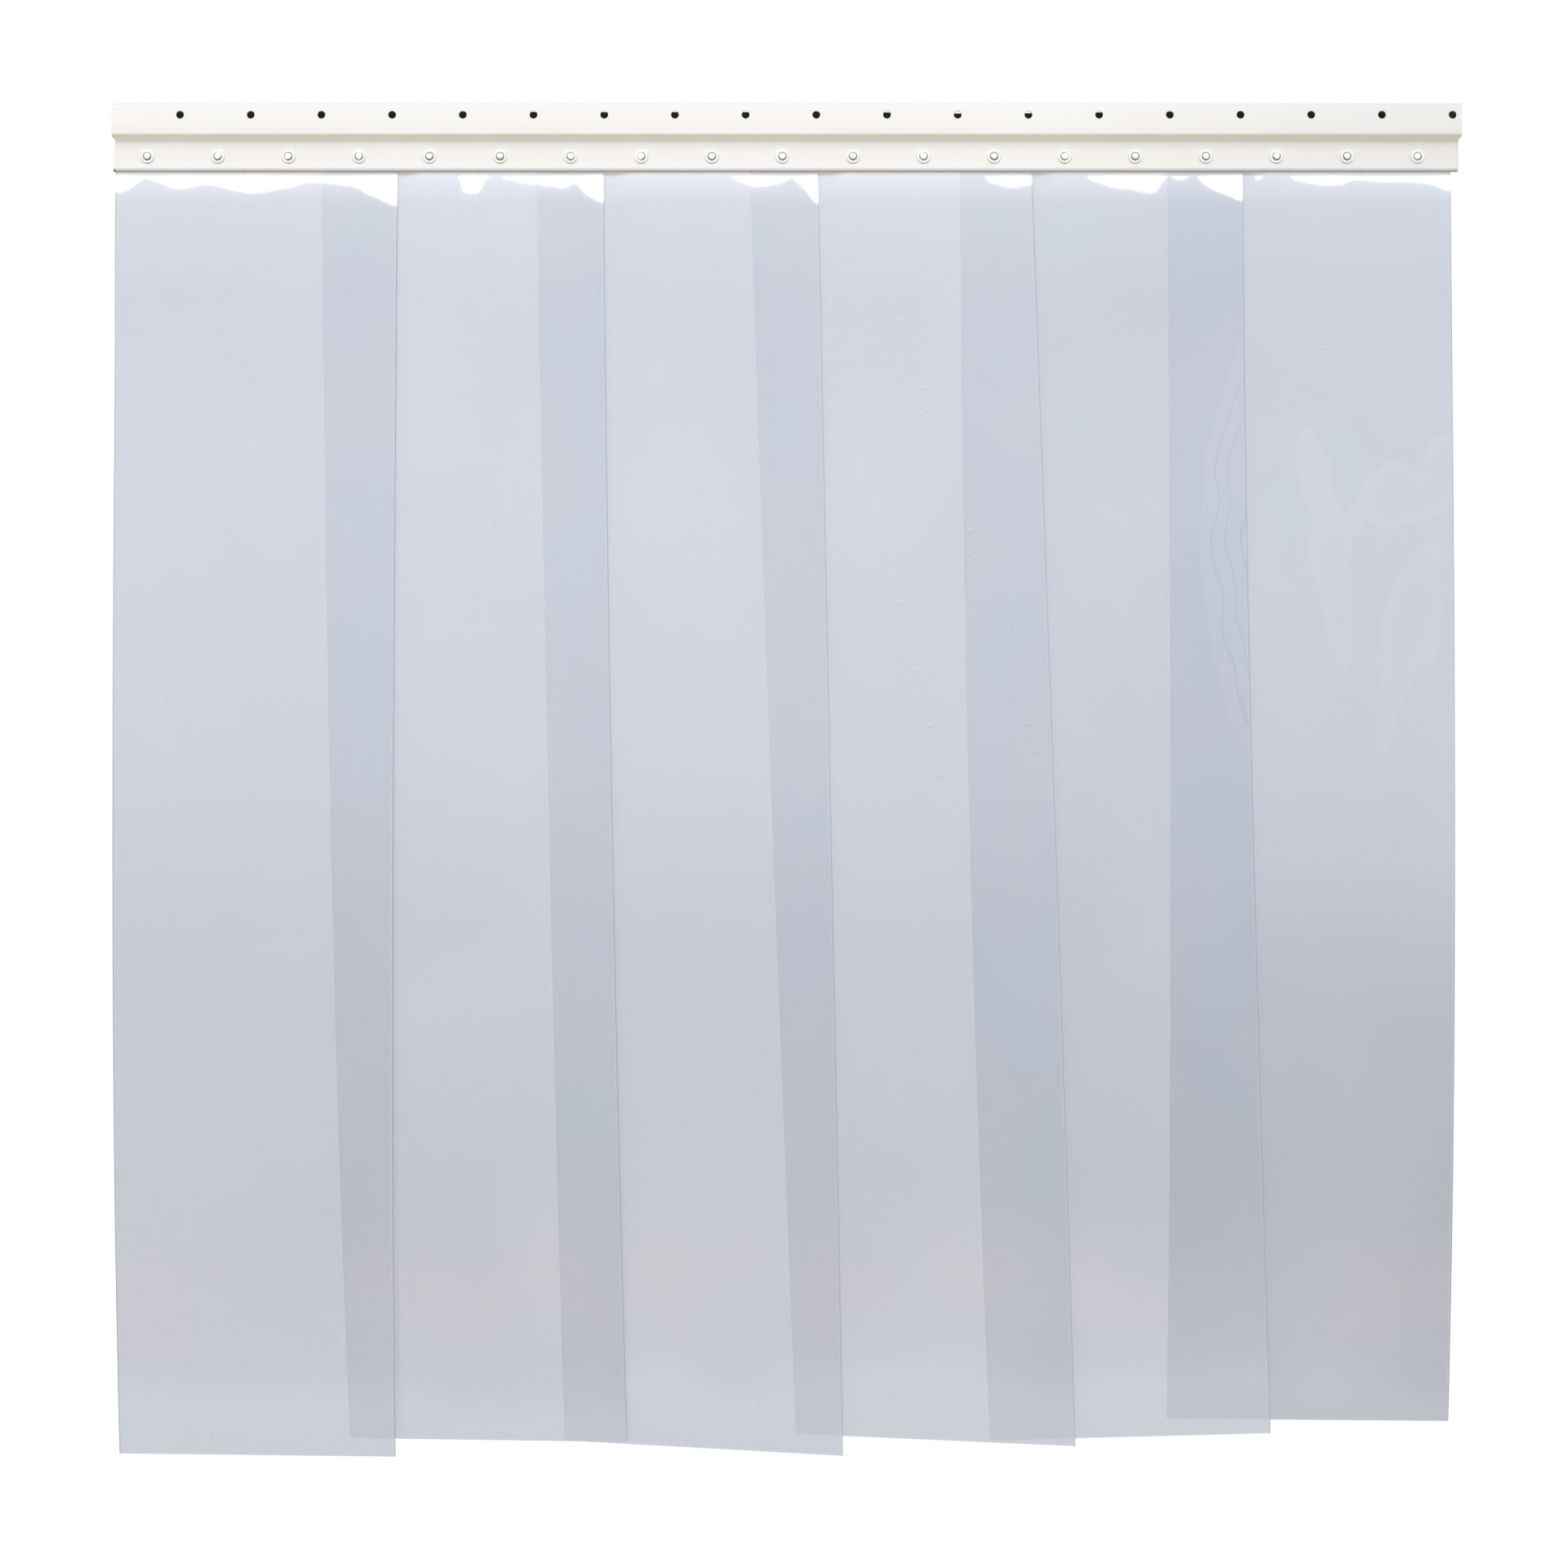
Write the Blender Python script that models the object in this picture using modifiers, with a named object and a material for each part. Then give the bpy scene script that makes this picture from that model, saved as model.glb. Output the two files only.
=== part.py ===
"""A PVC strip curtain: six overlapping clear strips clamped behind a joggled steel rail.

Metres, +Z up. The wall face of the rail looks along -Y, and the strips hang behind the lower flange. The origin
is on the wall face, at the middle of the upper flange. Each strip is one sheet that bends under the rail, so it is
built as a clamped head and a hanging length that turn about one line.
"""

import math

import bmesh
import bpy
from mathutils import Matrix

# The curtain: how many strips, and how the studs share them.
STRIPS = 6
STUD_PITCH = 0.05
PITCHES_PER_STRIP = 3
STRIP_MARGIN = 0.025
STRIP_THICKNESS = 0.002
STRIP_LENGTH = 0.94
STRIP_TOP_EDGE = 0.012
CLEARANCE = 0.0003

# The rail, a folded sheet: an upper flange on the wall, a joggle, a lower flange and a lip.
RAIL_SHEET = 0.0015
UPPER_FLANGE = 0.0216
JOGGLE_STEP = 0.0048
JOGGLE_DROP = 0.004
LOWER_FLANGE = 0.0191
LIP_DROP = 0.0019
LIP_STEP = 0.0015
RAIL_END_LEFT = 0.0245
RAIL_END_RIGHT = 0.0306
LOWER_END_INSET = 0.0018

# The screw holes for the wall, and the studs for the strips.
SCREW_HOLE = 0.0056
SCREW_HOLE_EDGE = 0.008
SCREW_HOLE_SHIFT = 0.024
STUD_EDGE = 0.008
STUD_SHANK = 0.0048
STUD_HEAD = 0.0056
STUD_HEAD_HEIGHT = 0.0011
STUD_HOLE_PLAY = 0.0006
STUD_TAIL = 0.0025
BOSS = 0.01
BOSS_HEIGHT = 0.0014
PUNCHED_HOLE_PLAY = 0.0012

# The clamp plates and the nuts on the far side.
PLATE_THICKNESS = 0.002
PLATE_RISE = 0.035
PLATE_FALL = 0.0045
PLATE_JOINT = 0.001
PLATE_INSET_LEFT = 0.004
PLATE_INSET_RIGHT = 0.001
NUT_ACROSS_CORNERS = 0.0092
NUT_HEIGHT = 0.004

# How the strips hang. The sheet's coil sends the bottom away from the wall face.
CURL = 0.05
SPREAD_GROWTH = 3.0
SETTLE_LENGTH = 0.15
KNUCKLE_PLAY = 0.00015

# One value for each strip, from the left. A strip leans evenly as it hangs, or by its bend more towards the bottom.
PUNCHING_SHIFT_SHARES = (0.08, -0.08, 0.015, 0.085, 0.065, -0.04)
LEAN_SHARES = (-0.022, 0.079, 0.09, 0.164, 0.115, 0.015)
LEAN_BEND_SHARES = (0.0, 0.35, 0.0, 0.1, 0.95, 0.0)
LENGTH_SHARES = (1.0, 0.9885, 0.9947, 0.9885, 0.9861, 0.9731)
BOTTOM_SLOPE_SHARES = (-0.002, 0.001, 0.042, 0.031, -0.039, -0.004)
PLATE_RISE_LEFT_SHARES = (1.0, 0.976, 0.943, 0.972, 0.91, 1.0)
PLATE_RISE_RIGHT_SHARES = (0.985, 0.944, 0.943, 0.912, 0.96, 1.0)

# Half of the curl swings forward again, so that a strip's weight hangs under its hinge. Hanging free, a strip's two
# edges lie further apart than the two layers of the clamped stack.
CURL_BALANCE_SHARE = 0.5
FREE_LAYER_SHARE = 4 / 3

# A plate ends a quarter of a pitch before the next strip's first stud.
PLATE_END_SHARE = 0.25

# Where the rows and columns of a strip's mesh lie.
SHIFT_COLUMN_SHARES = (0.15, 0.5, 0.85)
HANG_ROWS = 16

OVERRUN = 0.01
KNUCKLE_SIDES = 24
ROUND_SIDES = 10
SMALL_SIDES = 8
NUT_SIDES = 6

WHITE_PAINT = ("white_paint", (0.87, 0.86, 0.84, 1), 0.35, 0.0)
BRIGHT_STEEL = ("bright_steel", (0.75, 0.75, 0.76, 1), 0.2, 1.0)
DARK_STEEL = ("dark_steel", (0.05, 0.05, 0.055, 1), 0.5, 0.6)
CLEAR_PVC = ("clear_pvc", (0.66, 0.7, 0.78, 1), 0.15, 0.0)

STUDS = STRIPS * PITCHES_PER_STRIP + 1
STUD_SPAN = (STUDS - 1) * STUD_PITCH
RAIL_LENGTH = RAIL_END_LEFT + STUD_SPAN + RAIL_END_RIGHT
RAIL_LEFT = -RAIL_LENGTH / 2
FIRST_STUD = RAIL_LEFT + RAIL_END_LEFT
STRIP_WIDTH = PITCHES_PER_STRIP * STUD_PITCH + 2 * STRIP_MARGIN

UPPER_TOP_Z = UPPER_FLANGE / 2
UPPER_BOTTOM_Z = -UPPER_FLANGE / 2
LOWER_TOP_Z = UPPER_BOTTOM_Z - JOGGLE_DROP
LOWER_BOTTOM_Z = LOWER_TOP_Z - LOWER_FLANGE
RAIL_BOTTOM_Z = LOWER_BOTTOM_Z - LIP_DROP
STUD_Z = LOWER_BOTTOM_Z + STUD_EDGE
SCREW_Z = UPPER_TOP_Z - SCREW_HOLE_EDGE
STRIP_TOP_Z = STUD_Z + STRIP_TOP_EDGE

LOWER_FRONT_Y = JOGGLE_STEP
LOWER_BACK_Y = LOWER_FRONT_Y + RAIL_SHEET
LAYER_PITCH = STRIP_THICKNESS + CLEARANCE
STACK_MIDDLE_Y = LOWER_BACK_Y + CLEARANCE + STRIP_THICKNESS + CLEARANCE / 2
PLATE_FRONT_Y = LOWER_BACK_Y + CLEARANCE + 2 * LAYER_PITCH
PLATE_BACK_Y = PLATE_FRONT_Y + PLATE_THICKNESS
NUT_FRONT_Y = PLATE_BACK_Y + CLEARANCE
NUT_BACK_Y = NUT_FRONT_Y + NUT_HEIGHT
BOSS_FRONT_Y = LOWER_FRONT_Y - BOSS_HEIGHT
HEAD_BACK_Y = BOSS_FRONT_Y - CLEARANCE

# The strips turn about one line under the rail, which the rounded tops of the hanging lengths go round.
KNUCKLE_RADIUS = STRIP_THICKNESS + CLEARANCE / 2 + KNUCKLE_PLAY
HEAD_END_Z = RAIL_BOTTOM_Z
HINGE_Z = HEAD_END_Z - CLEARANCE - KNUCKLE_RADIUS
HINGE_Y = STACK_MIDDLE_Y + LIP_STEP
STRIP_HEAD_LENGTH = STRIP_TOP_Z - HINGE_Z


def stud_x(index):
    return FIRST_STUD + index * STUD_PITCH


def clear_scene():
    for old in list(bpy.data.objects):
        bpy.data.objects.remove(old, do_unlink=True)


def make_collection(name):
    collection = bpy.data.collections.new(name)
    bpy.context.scene.collection.children.link(collection)
    return collection


def make_material(finish):
    name, color, roughness, metallic = finish
    material = bpy.data.materials.get(name)
    if material is None:
        material = bpy.data.materials.new(name)
        material.use_nodes = True
        shader = material.node_tree.nodes["Principled BSDF"]
        shader.inputs["Base Color"].default_value = color
        shader.inputs["Roughness"].default_value = roughness
        shader.inputs["Metallic"].default_value = metallic
    return material


def object_from(name, shape, collection, finish=None):
    """Makes an object from a bmesh, which it frees."""
    bmesh.ops.recalc_face_normals(shape, faces=shape.faces)
    mesh = bpy.data.meshes.new(name)
    shape.to_mesh(mesh)
    shape.free()
    made = bpy.data.objects.new(name, mesh)
    collection.objects.link(made)
    if finish:
        mesh.materials.append(make_material(finish))
    return made


def hide_cutter(cutter):
    cutter.hide_render = True
    cutter.display_type = "WIRE"
    return cutter


def cut(target, cutter):
    modifier = target.modifiers.new(cutter.name, "BOOLEAN")
    modifier.operation = "DIFFERENCE"
    modifier.solver = "EXACT"
    modifier.object = cutter
    return modifier


def add_box(shape, low, high):
    """Adds a box between two corners."""
    size = [b - a for a, b in zip(low, high)]
    middle = [(a + b) / 2 for a, b in zip(low, high)]
    matrix = Matrix.Translation(middle) @ Matrix.Diagonal((*size, 1))
    bmesh.ops.create_cube(shape, size=1, matrix=matrix)


def add_rod(shape, x, z, front_y, back_y, diameter, sides):
    """Adds a rod that lies along Y."""
    turn = Matrix.Rotation(math.pi / 2, 4, "X") @ Matrix.Rotation(math.pi / sides, 4, "Z")
    matrix = Matrix.Translation((x, (front_y + back_y) / 2, z)) @ turn
    bmesh.ops.create_cone(
        shape,
        cap_ends=True,
        segments=sides,
        radius1=diameter / 2,
        radius2=diameter / 2,
        depth=back_y - front_y,
        matrix=matrix,
    )


def build_rail(parts, cutters):
    """The rail: its folded profile drawn along X, given the sheet's thickness, then punched."""
    half = RAIL_SHEET / 2
    profile = (
        (half, UPPER_TOP_Z),
        (half, UPPER_BOTTOM_Z),
        (LOWER_FRONT_Y + half, LOWER_TOP_Z),
        (LOWER_FRONT_Y + half, LOWER_BOTTOM_Z),
        (LOWER_FRONT_Y + half + LIP_STEP, RAIL_BOTTOM_Z),
    )
    shape = bmesh.new()
    points = [shape.verts.new((RAIL_LEFT, y, z)) for y, z in profile]
    edges = [shape.edges.new(pair) for pair in zip(points, points[1:])]
    drawn = bmesh.ops.extrude_edge_only(shape, edges=edges)
    moved = [item for item in drawn["geom"] if isinstance(item, bmesh.types.BMVert)]
    bmesh.ops.translate(shape, verts=moved, vec=(RAIL_LENGTH, 0, 0))
    rail = object_from("mounting_rail", shape, parts, WHITE_PAINT)
    sheet = rail.modifiers.new("sheet", "SOLIDIFY")
    sheet.thickness = RAIL_SHEET
    sheet.offset = 0
    sheet.use_even_offset = True

    shape = bmesh.new()
    for index in range(STUDS):
        add_rod(shape, stud_x(index), STUD_Z, BOSS_FRONT_Y, LOWER_FRONT_Y + half, BOSS, ROUND_SIDES)
    bosses = hide_cutter(object_from("rail_bosses", shape, cutters))
    cut(rail, bosses).operation = "UNION"

    shape = bmesh.new()
    for index in range(STUDS):
        x = stud_x(index)
        hole = STUD_SHANK + STUD_HOLE_PLAY
        add_rod(shape, x, STUD_Z, -OVERRUN, LOWER_BACK_Y + OVERRUN, hole, SMALL_SIDES)
        screw_x = x + SCREW_HOLE_SHIFT
        add_rod(shape, screw_x, SCREW_Z, -OVERRUN, RAIL_SHEET + OVERRUN, SCREW_HOLE, ROUND_SIDES)
    cut(rail, hide_cutter(object_from("rail_holes", shape, cutters)))

    shape = bmesh.new()
    low_z = RAIL_BOTTOM_Z - OVERRUN
    high_y = LOWER_BACK_Y + LIP_STEP + OVERRUN
    ends = (
        (RAIL_LEFT - OVERRUN, RAIL_LEFT + LOWER_END_INSET),
        (-RAIL_LEFT - LOWER_END_INSET, -RAIL_LEFT + OVERRUN),
    )
    for low_x, high_x in ends:
        add_box(shape, (low_x, -OVERRUN, low_z), (high_x, high_y, LOWER_TOP_Z))
    cut(rail, hide_cutter(object_from("rail_end_notches", shape, cutters)))


def smooth_step(value):
    value = min(max(value, 0), 1)
    return value * value * (3 - 2 * value)


def hang_path(length):
    """Where the rows of a hanging length lie: (share of the length, y, drop), with its weight under the hinge."""
    path = [(0, 0, 0)]
    for row in range(1, HANG_ROWS + 1):
        share = row / HANG_ROWS
        y = CURL * (share**3 - share * CURL_BALANCE_SHARE)
        run = length / HANG_ROWS
        fall = math.sqrt(run * run - (y - path[-1][1]) ** 2)
        path.append((share, y, path[-1][2] + fall))
    return path


def punching_shift(index):
    return PUNCHING_SHIFT_SHARES[index] * STRIP_MARGIN


def strip_columns(index):
    """The columns of a strip's mesh, in metres from its left edge, and the stretch between its first stud and its
    second where it shifts from the far layer to the near one, past the edge of the strip before it."""
    past_neighbour = max(0, punching_shift(index - 1) - punching_shift(index)) if index else 0
    start = 2 * STRIP_MARGIN + past_neighbour + STRIP_THICKNESS
    stop = STRIP_MARGIN - punching_shift(index) + STUD_PITCH - STUD_SHANK
    shift = [start + (stop - start) * share for share in SHIFT_COLUMN_SHARES]
    after = [STRIP_MARGIN + STUD_PITCH * stud for stud in range(1, PITCHES_PER_STRIP + 1)]
    return [0, start, *shift, stop, *[x + STRIP_MARGIN for x in after]], start, stop


def clamped_layer(across, start, stop, first_strip):
    """Which layer of the clamped stack holds the sheet there: 1 is the far one, -1 the near one."""
    if first_strip:
        return -1
    return 1 - 2 * smooth_step((across - start) / (stop - start))


def strip_sheet(name, index, rows, parts):
    """A sheet over the rows, each given as (height under the hinge, share of the hang, y, drop share)."""
    columns, start, stop = strip_columns(index)
    left = stud_x(index * PITCHES_PER_STRIP) - STRIP_MARGIN + punching_shift(index)
    lean = LEAN_SHARES[index] * STRIP_WIDTH
    bend = LEAN_BEND_SHARES[index]
    slope = BOTTOM_SLOPE_SHARES[index] * STRIP_WIDTH
    shape = bmesh.new()
    bmesh.ops.create_grid(shape, x_segments=len(columns) - 1, y_segments=len(rows) - 1, size=1)
    grid = sorted(shape.verts, key=lambda vert: (-round(vert.co.y, 4), vert.co.x))
    for place, vert in enumerate(grid):
        share, y, z = rows[place // len(columns)]
        across = columns[place % len(columns)]
        across_share = across / STRIP_WIDTH
        settled = smooth_step(share * STRIP_LENGTH / SETTLE_LENGTH)
        clamped = clamped_layer(across, start, stop, index == 0)
        loose = FREE_LAYER_SHARE * (1 - 2 * across_share)
        layer = (1 - settled) * clamped + settled * loose
        spread = LAYER_PITCH / 2 * (1 + SPREAD_GROWTH * share)
        vert.co = (
            left + across + lean * share * (1 - bend + bend * share),
            HINGE_Y + y + spread * layer,
            z - slope * share * (across_share - 0.5),
        )
    made = object_from(name, shape, parts, CLEAR_PVC)
    sheet = made.modifiers.new("sheet", "SOLIDIFY")
    sheet.thickness = STRIP_THICKNESS
    sheet.offset = 0
    return made


def build_strips(parts, cutters):
    """Each strip's clamped head and its hanging length."""
    shape = bmesh.new()
    for index in range(STUDS):
        hole = STUD_SHANK + PUNCHED_HOLE_PLAY
        back_y = PLATE_FRONT_Y + OVERRUN
        add_rod(shape, stud_x(index), STUD_Z, LOWER_FRONT_Y - OVERRUN, back_y, hole, SMALL_SIDES)
    punches = hide_cutter(object_from("strip_punches", shape, cutters))

    # What lies above the hinge line and outside the knuckle is cut from a hanging length.
    shape = bmesh.new()
    end_x = RAIL_LENGTH / 2 + OVERRUN
    near_y = HINGE_Y - LAYER_PITCH - OVERRUN
    far_y = HINGE_Y + LAYER_PITCH + OVERRUN
    add_box(shape, (-end_x, near_y, HINGE_Z), (end_x, far_y, HINGE_Z + 2 * KNUCKLE_RADIUS + OVERRUN))
    around = object_from("knuckle_space", shape, cutters)
    shape = bmesh.new()
    turn = Matrix.Rotation(math.pi / 2, 4, "Y") @ Matrix.Rotation(math.pi / KNUCKLE_SIDES, 4, "Z")
    bmesh.ops.create_cone(
        shape,
        cap_ends=True,
        segments=KNUCKLE_SIDES,
        radius1=KNUCKLE_RADIUS,
        radius2=KNUCKLE_RADIUS,
        depth=2 * (end_x + OVERRUN),
        matrix=Matrix.Translation((0, HINGE_Y, HINGE_Z)) @ turn,
    )
    knuckle = hide_cutter(object_from("knuckle", shape, cutters))
    cut(around, knuckle)
    hide_cutter(around)

    bend_top_z = STUD_Z - PLATE_FALL
    for index in range(STRIPS):
        length = STRIP_LENGTH * LENGTH_SHARES[index] - STRIP_HEAD_LENGTH
        head_rows = [
            (0, -LIP_STEP, STRIP_TOP_Z),
            (0, -LIP_STEP, bend_top_z),
            (0, 0, HEAD_END_Z),
        ]
        head = strip_sheet(f"strip_{index + 1}_head", index, head_rows, parts)
        cut(head, punches)
        rows = [(share, y, HINGE_Z - drop) for share, y, drop in hang_path(length)]
        rows.insert(0, (0, 0, HINGE_Z + 2 * KNUCKLE_RADIUS))
        hanging = strip_sheet(f"strip_{index + 1}", index, rows, parts)
        cut(hanging, around)


def build_plates(parts, cutters):
    """The clamp plates, butted end to end between studs."""
    shape = bmesh.new()
    for index in range(STUDS):
        hole = STUD_SHANK + STUD_HOLE_PLAY
        back_y = PLATE_BACK_Y + OVERRUN
        add_rod(shape, stud_x(index), STUD_Z, PLATE_FRONT_Y - OVERRUN, back_y, hole, SMALL_SIDES)
    holes = hide_cutter(object_from("plate_holes", shape, cutters))
    ahead = STUD_PITCH * PLATE_END_SHARE
    for index in range(STRIPS):
        left = stud_x(index * PITCHES_PER_STRIP) - ahead + PLATE_JOINT / 2
        right = stud_x((index + 1) * PITCHES_PER_STRIP) - ahead - PLATE_JOINT / 2
        if index == 0:
            left = RAIL_LEFT + PLATE_INSET_LEFT
        if index == STRIPS - 1:
            right = -RAIL_LEFT - PLATE_INSET_RIGHT
        left_top_z = STUD_Z + PLATE_RISE * PLATE_RISE_LEFT_SHARES[index]
        right_top_z = STUD_Z + PLATE_RISE * PLATE_RISE_RIGHT_SHARES[index]
        shape = bmesh.new()
        add_box(shape, (left, PLATE_FRONT_Y, STUD_Z - PLATE_FALL), (right, PLATE_BACK_Y, left_top_z))
        for vert in shape.verts:
            if vert.co.x > (left + right) / 2 and vert.co.z > STUD_Z:
                vert.co.z = right_top_z
        plate = object_from(f"clamp_plate_{index + 1}", shape, parts, DARK_STEEL)
        cut(plate, holes)


def stud_profile():
    """Half of a stud's outline along Y, from the tail to the domed head in front: (radius, y)."""
    tail_y = NUT_BACK_Y + STUD_TAIL
    shank = [(0, tail_y), (STUD_SHANK / 2, tail_y), (STUD_SHANK / 2, HEAD_BACK_Y)]
    dome = [(STUD_HEAD / 2 * math.sin(a), math.cos(a)) for a in (math.pi / 2, math.pi / 4, 0)]
    return shank + [(radius, HEAD_BACK_Y - STUD_HEAD_HEIGHT * rise) for radius, rise in dome]


def build_fasteners(parts):
    """The studs, turned about their own lines, and the hexagon nuts on their tails."""
    shape = bmesh.new()
    points = [shape.verts.new((radius, y, 0)) for radius, y in stud_profile()]
    for pair in zip(points, points[1:]):
        shape.edges.new(pair)
    stud_mesh = bpy.data.meshes.new("stud")
    shape.to_mesh(stud_mesh)
    shape.free()
    stud_mesh.materials.append(make_material(BRIGHT_STEEL))

    nut_curve = bpy.data.curves.new("nut", "CURVE")
    nut_curve.dimensions = "2D"
    nut_curve.fill_mode = "BOTH"
    nut_curve.extrude = NUT_HEIGHT / 2
    nut_curve.materials.append(make_material(BRIGHT_STEEL))
    bore = STUD_SHANK + STUD_HOLE_PLAY
    for across, sides in ((NUT_ACROSS_CORNERS, NUT_SIDES), (bore, SMALL_SIDES)):
        spline = nut_curve.splines.new("POLY")
        spline.points.add(sides - 1)
        spline.use_cyclic_u = True
        for side, point in enumerate(spline.points):
            turn = 2 * math.pi * side / sides
            point.co = (across / 2 * math.cos(turn), across / 2 * math.sin(turn), 0, 1)

    for index in range(STUDS):
        stud = bpy.data.objects.new(f"stud_{index + 1:02d}", stud_mesh)
        stud.location = (stud_x(index), 0, STUD_Z)
        turned = stud.modifiers.new("turned", "SCREW")
        turned.axis = "Y"
        turned.steps = SMALL_SIDES
        turned.render_steps = SMALL_SIDES
        turned.use_merge_vertices = True
        turned.merge_threshold = CLEARANCE / 10
        parts.objects.link(stud)
        nut = bpy.data.objects.new(f"nut_{index + 1:02d}", nut_curve)
        nut.location = (stud_x(index), (NUT_FRONT_Y + NUT_BACK_Y) / 2, STUD_Z)
        nut.rotation_euler = (math.pi / 2, 0, 0)
        parts.objects.link(nut)


clear_scene()
curtain = make_collection("pvc_strip_curtain")
cutting_shapes = make_collection("cutters")
build_rail(curtain, cutting_shapes)
build_strips(curtain, cutting_shapes)
build_plates(curtain, cutting_shapes)
build_fasteners(curtain)
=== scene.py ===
"""A PVC strip curtain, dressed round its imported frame: metres, +Z up, the wall side towards -Y.

The file follows the curtain as it is put together: the rail, the collars and studs pressed into it, the
strips hung on the studs, then the clamp plates and nuts that hold them. The studio comes last.
"""

import math

import bmesh
import bpy
from mathutils import Matrix, Vector


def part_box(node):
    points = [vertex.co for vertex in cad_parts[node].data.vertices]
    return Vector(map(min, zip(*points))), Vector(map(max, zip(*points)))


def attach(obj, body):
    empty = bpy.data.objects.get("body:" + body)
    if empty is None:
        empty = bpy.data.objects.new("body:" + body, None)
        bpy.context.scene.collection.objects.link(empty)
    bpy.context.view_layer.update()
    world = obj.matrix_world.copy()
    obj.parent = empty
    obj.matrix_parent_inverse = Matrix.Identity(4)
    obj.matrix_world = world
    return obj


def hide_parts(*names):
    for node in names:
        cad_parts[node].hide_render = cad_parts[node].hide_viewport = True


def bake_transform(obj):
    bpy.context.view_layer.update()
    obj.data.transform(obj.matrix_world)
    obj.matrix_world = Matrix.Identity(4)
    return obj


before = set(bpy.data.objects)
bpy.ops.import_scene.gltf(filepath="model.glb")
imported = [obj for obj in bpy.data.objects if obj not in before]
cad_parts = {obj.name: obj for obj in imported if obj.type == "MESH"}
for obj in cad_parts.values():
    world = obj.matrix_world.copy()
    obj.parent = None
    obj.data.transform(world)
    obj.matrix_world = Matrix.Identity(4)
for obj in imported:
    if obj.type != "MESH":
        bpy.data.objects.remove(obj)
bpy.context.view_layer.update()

# The camera stands 2.15 m in front of the wall side, level with the middle of the curtain, and looks straight
# at it through a lens of about 70 mm on a 36 mm sensor.
CAMERA_PLACE = (-0.0019, -2.152, -0.4705)
CAMERA_LENS = 69.87
CAMERA_SENSOR = 36


def new_object(name, data):
    """An object in the scene with this data."""
    made = bpy.data.objects.new(name, data)
    bpy.context.scene.collection.objects.link(made)
    return made


camera_data = bpy.data.cameras.new("camera")
camera_data.sensor_width = CAMERA_SENSOR
camera_data.lens = CAMERA_LENS
camera = new_object("camera", camera_data)
camera.location = CAMERA_PLACE
camera.rotation_euler = (math.pi / 2, 0, 0)
bpy.context.scene.camera = camera

# The rail: one length of 1.5 mm steel sheet, folded into an upper flange, a joggle that steps back, a lower
# flange and a short lip, punched for screws and studs, and powder coated warm white. It is put up first.
SHEET = 0.0015
FOLD_RADIUS = 0.0014
FOLD_STEPS = 5
SHEET_EDGE_RADIUS = 0.0003
SHEET_EDGE_STEPS = 4
UPPER_TOP_Z = 0.0108
UPPER_BOTTOM_Z = -0.0108
LOWER_TOP_Z = -0.0148
LOWER_BOTTOM_Z = -0.0339
LIP_Z = -0.0358
JOGGLE_STEP = 0.0048
LIP_STEP = 0.0015
STUD_PITCH = 0.05
STUDS = 19
STUD_Z = -0.0259
STUD_HOLE = 0.0054
STUD_HOLE_SIDES = 32
SCREW_HOLE = 0.0056
SCREW_HOLE_SIDES = 40
SCREW_HOLE_SHIFT = 0.024
SCREW_Z = 0.0028
RAIL_END_LEFT = 0.0245
END_INSET_TOP = 0.0018
END_INSET_BOTTOM_LEFT = 0.0002
SHARP_ANGLE = 35

rail_low, rail_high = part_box("mounting_rail")
RAIL_LEFT = rail_low.x
RAIL_RIGHT = rail_high.x
FIRST_STUD_X = RAIL_LEFT + RAIL_END_LEFT


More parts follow.
